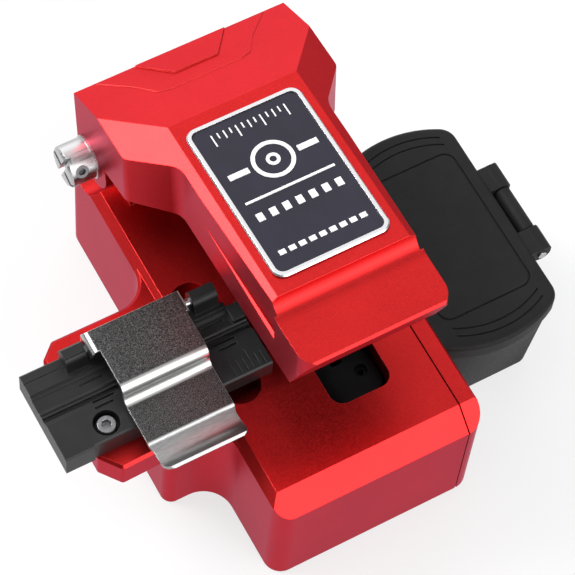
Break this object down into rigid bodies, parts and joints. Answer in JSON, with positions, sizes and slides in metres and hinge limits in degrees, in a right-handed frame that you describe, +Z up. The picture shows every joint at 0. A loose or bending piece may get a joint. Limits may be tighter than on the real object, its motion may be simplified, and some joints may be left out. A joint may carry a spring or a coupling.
{
  "type": "optical fibre cleaver",
  "caption": "Bench optical fibre cleaver: hinged pressing lever, sliding blade carriage, fibre holder with spring clip and a lidded offcut collector.",
  "frame": {"origin": "centre of the flat rest face under the base", "axes": "+X to the right, towards the offcut collector and along the hinge axis; +Y to the back, towards the hinge; +Z up"},
  "size_m": [0.1196, 0.097, 0.0813],
  "materials": {
    "anodised_red": "satin red anodised aluminium, fine blasted grain, bright machined chamfers",
    "black_anodised": "black hard anodised aluminium, fine milled texture",
    "black_metal": "black oxide finish",
    "steel_screw": "plain steel fasteners",
    "black_screw": "black oxide socket head screws",
    "steel_pin": "ground steel",
    "spring_steel": "drawn spring wire",
    "polished_steel": "turned and polished steel",
    "clip_steel": "tumbled stainless sheet, bright rolled edges",
    "bright_bezel": "bright bevelled aluminium frame",
    "label_dark": "dark blue-black printed panel",
    "rubber_black": "soft black rubber",
    "bronze": "sintered bronze",
    "carbide": "ground tungsten carbide",
    "black_plastic": "fine textured black moulded plastic"
  },
  "bodies": {
    "base": {"base_body": "anodised_red", "side_plate": "anodised_red", "side_plate_screws": "steel_screw", "bottom_cover": "black_metal", "bottom_cover_screws": "steel_screw", "rubber_pad": "rubber_black", "hinge_bushes": "bronze", "lever_spring": "spring_steel", "lower_clamp_blocks": "black_metal", "lower_clamp_screws": "steel_screw", "lower_pads": "rubber_black", "guide_rods": "steel_pin", "fiber_holder": "black_anodised", "holder_screws": "steel_screw", "clip_pin": "steel_pin", "clip_spring": "spring_steel", "collector_box": "black_plastic", "collector_screws": "steel_screw", "lid_hinge_pin": "steel_pin"},
    "lever_arm": {"lever": "anodised_red", "nameplate_bezel": "bright_bezel", "nameplate_panel": "label_dark", "hinge_shaft": "steel_pin", "hinge_collar": "polished_steel", "collar_set_screw": "steel_screw", "drive_arm": "steel_pin", "drive_pin": "steel_pin", "upper_clamp_block": "black_metal", "upper_clamp_screws": "steel_screw", "upper_pads": "rubber_black", "anvil_spring": "spring_steel"},
    "anvil": {"anvil_plunger": "steel_pin", "anvil_tip": "rubber_black"},
    "carriage": {"blade_carriage": "black_metal", "carriage_bushes": "bronze", "blade_height_screw": "black_metal", "blade_hub_screw": "steel_screw"},
    "blade": {"blade_wheel": "carbide"},
    "clip": {"clip_plate": "clip_steel", "clip_pad": "black_anodised"},
    "lid": {"collector_lid": "black_plastic"}
  },
  "joints": [
    {"name": "lever_hinge", "type": "hinge", "parent": "base", "child": "lever_arm", "pos_m": [0, 0.0378, 0.0493], "axis": [1, 0, 0], "range_deg": [0, 22.66], "stiffness_Nm_per_rad": 0.25, "springref_deg": -25.78},
    {"name": "carriage_slide", "type": "slide", "parent": "base", "child": "carriage", "axis": [0, 1, 0], "range_m": [0, 0.0118]},
    {"name": "blade_turn", "type": "hinge", "parent": "carriage", "child": "blade", "pos_m": [0.0045, -0.01295, 0.0304], "axis": [1, 0, 0], "continuous": true},
    {"name": "anvil_slide", "type": "slide", "parent": "lever_arm", "child": "anvil", "axis": [0, 0.3853, 0.9228], "range_m": [0, 0.0009], "stiffness_N_per_m": 500, "springref_m": -0.001},
    {"name": "clip_hinge", "type": "hinge", "parent": "base", "child": "clip", "pos_m": [-0.032, 0.0011, 0.041], "axis": [-1, 0, 0], "range_deg": [0, 100], "stiffness_Nm_per_rad": 0.01, "springref_deg": -34.38},
    {"name": "lid_hinge", "type": "hinge", "parent": "base", "child": "lid", "pos_m": [0.058, -0.005, 0.0263], "axis": [0, 1, 0], "range_deg": [0, 100]}
  ],
  "couplings": [
    {"joint": "carriage_slide", "follows": "lever_hinge", "m_per_rad": 0.02958}
  ]
}
